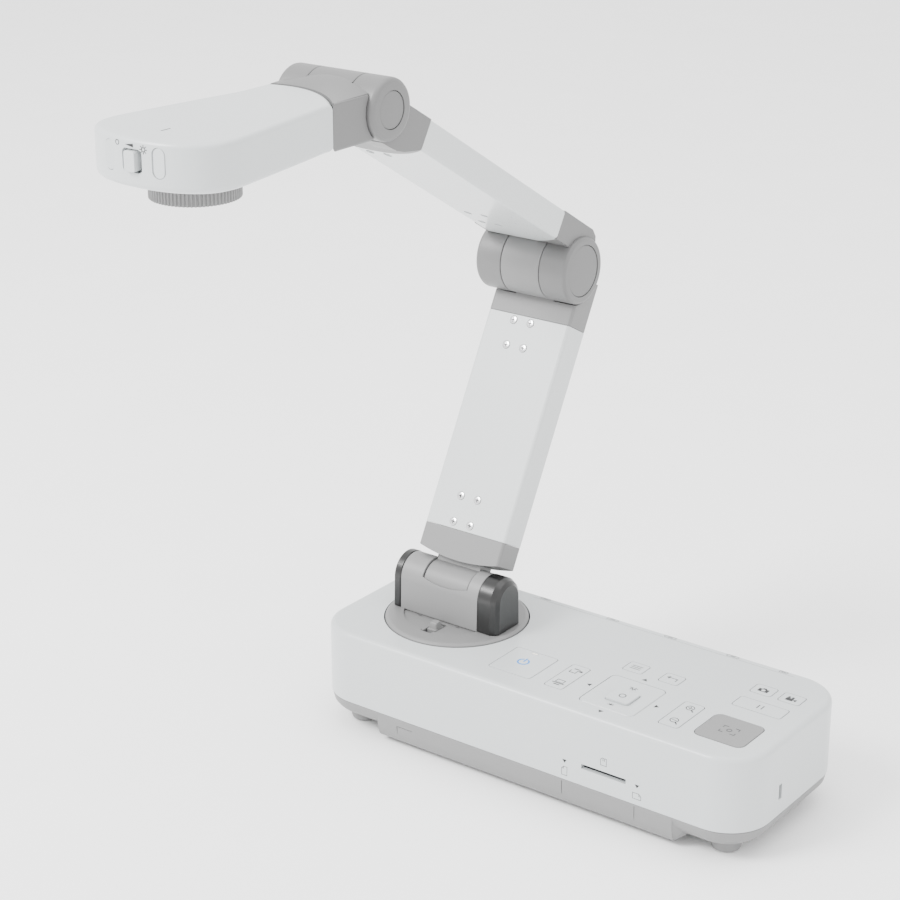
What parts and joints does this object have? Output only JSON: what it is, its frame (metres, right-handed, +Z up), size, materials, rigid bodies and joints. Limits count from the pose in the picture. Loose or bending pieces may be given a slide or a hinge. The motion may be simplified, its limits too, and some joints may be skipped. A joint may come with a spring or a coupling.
{
  "type": "document camera",
  "caption": "Document camera with a flat key-panel base, a swivelling hinge tower, a folding two-section arm and a level camera head with a rotation ring.",
  "frame": {"origin": "on the desk, under the middle of the whole camera's bounding box as it stands with the arm up", "axes": "+X along the base from the arm towards the key panel, -Y the way the camera head reaches, +Z up"},
  "size_m": [0.264, 0.319, 0.3652],
  "materials": {
    "white_plastic": "semi-gloss moulded",
    "grey_plastic": "satin moulded",
    "dark_grey_plastic": "satin moulded",
    "black_plastic": "semi-gloss moulded",
    "rubber": "matt",
    "steel": "plain",
    "circuit_board": "solder mask",
    "optical_glass": "polished",
    "lamp_lens": "clear"
  },
  "bodies": {
    "base": {"base_cover": "white_plastic", "base_tray": "grey_plastic", "ballast_plate": "steel", "main_board": "circuit_board", "key_board": "circuit_board", "status_lamp": "lamp_lens", "foot_front_left": "rubber", "foot_front_right": "rubber", "foot_rear_left": "rubber", "foot_rear_right": "rubber", "turntable_bearing": "dark_grey_plastic", "port_usb": "black_plastic", "port_hdmi": "black_plastic", "port_video_out": "steel", "port_video_in": "steel", "port_power": "black_plastic", "card_reader": "steel"},
    "turntable": {"turntable_disc": "grey_plastic", "turntable_spindle": "steel", "tower_body": "grey_plastic", "tower_cap_left": "black_plastic", "tower_cap_right": "black_plastic", "tilt_shaft": "steel"},
    "swivel_lock": {"swivel_lock": "grey_plastic"},
    "lower_arm": {"lower_arm_shell": "white_plastic", "lower_arm_spine": "steel", "lower_arm_foot": "grey_plastic", "lower_arm_head": "grey_plastic"},
    "upper_arm": {"upper_arm_shell": "white_plastic", "upper_arm_spine": "steel", "elbow_fork": "dark_grey_plastic", "elbow_shaft": "steel", "elbow_disc_left": "dark_grey_plastic", "elbow_disc_right": "dark_grey_plastic", "wrist_fork": "dark_grey_plastic", "wrist_shaft": "steel", "wrist_disc_left": "dark_grey_plastic", "wrist_disc_right": "dark_grey_plastic"},
    "head": {"head_cover": "white_plastic", "head_floor": "white_plastic", "head_collar": "dark_grey_plastic", "lens_barrel": "black_plastic", "lens_glass": "optical_glass", "sensor_board": "circuit_board", "lamp": "lamp_lens", "sensor_window_left": "white_plastic", "sensor_window_right": "white_plastic"},
    "rotation_ring": {"rotation_ring": "grey_plastic"},
    "light_slider": {"light_slider": "white_plastic"},
    "key_power": {"key_power": "white_plastic"},
    "key_source": {"key_source": "white_plastic"},
    "key_menu": {"key_menu": "white_plastic"},
    "key_escape": {"key_escape": "white_plastic"},
    "key_direction": {"key_direction": "white_plastic"},
    "key_zoom": {"key_zoom": "white_plastic"},
    "key_focus": {"key_focus": "grey_plastic"},
    "key_freeze": {"key_freeze": "white_plastic"},
    "key_capture": {"key_capture": "white_plastic"},
    "key_record": {"key_record": "white_plastic"},
    "key_enter": {"key_enter": "white_plastic"}
  },
  "joints": [
    {"name": "turntable_swivel", "type": "hinge", "parent": "base", "child": "turntable", "pos_m": [-0.0754, 0.06765, 0.0573], "axis": [0, 0, 1], "range_deg": [-90, 90]},
    {"name": "swivel_lock_slide", "type": "slide", "parent": "turntable", "child": "swivel_lock", "axis": [0, 1, 0], "range_m": [-0.0045, 0]},
    {"name": "arm_tilt", "type": "hinge", "parent": "turntable", "child": "lower_arm", "pos_m": [-0.0754, 0.06725, 0.0754], "axis": [1, 0, 0], "range_deg": [-61, 30]},
    {"name": "elbow_fold", "type": "hinge", "parent": "lower_arm", "child": "upper_arm", "pos_m": [-0.0754, 0.13975, 0.2365], "axis": [1, 0, 0], "range_deg": [-70, 60]},
    {"name": "head_tilt", "type": "hinge", "parent": "upper_arm", "child": "head", "pos_m": [-0.0754, -0.021, 0.3505], "axis": [-1, 0, 0], "range_deg": [-35, 100]},
    {"name": "image_rotation", "type": "hinge", "parent": "head", "child": "rotation_ring", "pos_m": [-0.0754, -0.12065, 0.33], "axis": [0, 0, 1], "range_deg": [-90, 90]},
    {"name": "light_slider_slide", "type": "slide", "parent": "head", "child": "light_slider", "axis": [1, 0, 0], "range_m": [-0.0022, 0.0022]},
    {"name": "power_press", "type": "slide", "parent": "base", "child": "key_power", "axis": [0, 0, -1], "range_m": [0, 0.0008], "stiffness_N_per_m": 900},
    {"name": "source_rock", "type": "hinge", "parent": "base", "child": "key_source", "pos_m": [0.01205, 0.0432, 0.054], "axis": [1, 0, 0], "range_deg": [-2.5, 2.5], "stiffness_Nm_per_rad": 0.5},
    {"name": "menu_press", "type": "slide", "parent": "base", "child": "key_menu", "axis": [0, 0, -1], "range_m": [0, 0.0008], "stiffness_N_per_m": 900},
    {"name": "escape_press", "type": "slide", "parent": "base", "child": "key_escape", "axis": [0, 0, -1], "range_m": [0, 0.0008], "stiffness_N_per_m": 900},
    {"name": "direction_press", "type": "slide", "parent": "base", "child": "key_direction", "axis": [0, 0, -1], "range_m": [0, 0.0008], "stiffness_N_per_m": 900},
    {"name": "zoom_rock", "type": "hinge", "parent": "base", "child": "key_zoom", "pos_m": [0.07925, 0.04275, 0.054], "axis": [1, 0, 0], "range_deg": [-2.5, 2.5], "stiffness_Nm_per_rad": 0.5},
    {"name": "focus_press", "type": "slide", "parent": "base", "child": "key_focus", "axis": [0, 0, -1], "range_m": [0, 0.0008], "stiffness_N_per_m": 900},
    {"name": "freeze_press", "type": "slide", "parent": "base", "child": "key_freeze", "axis": [0, 0, -1], "range_m": [0, 0.0008], "stiffness_N_per_m": 900},
    {"name": "capture_press", "type": "slide", "parent": "base", "child": "key_capture", "axis": [0, 0, -1], "range_m": [0, 0.0008], "stiffness_N_per_m": 900},
    {"name": "record_press", "type": "slide", "parent": "base", "child": "key_record", "axis": [0, 0, -1], "range_m": [0, 0.0008], "stiffness_N_per_m": 900},
    {"name": "enter_press", "type": "slide", "parent": "base", "child": "key_enter", "axis": [0, 0, -1], "range_m": [0, 0.0008], "stiffness_N_per_m": 900}
  ]
}
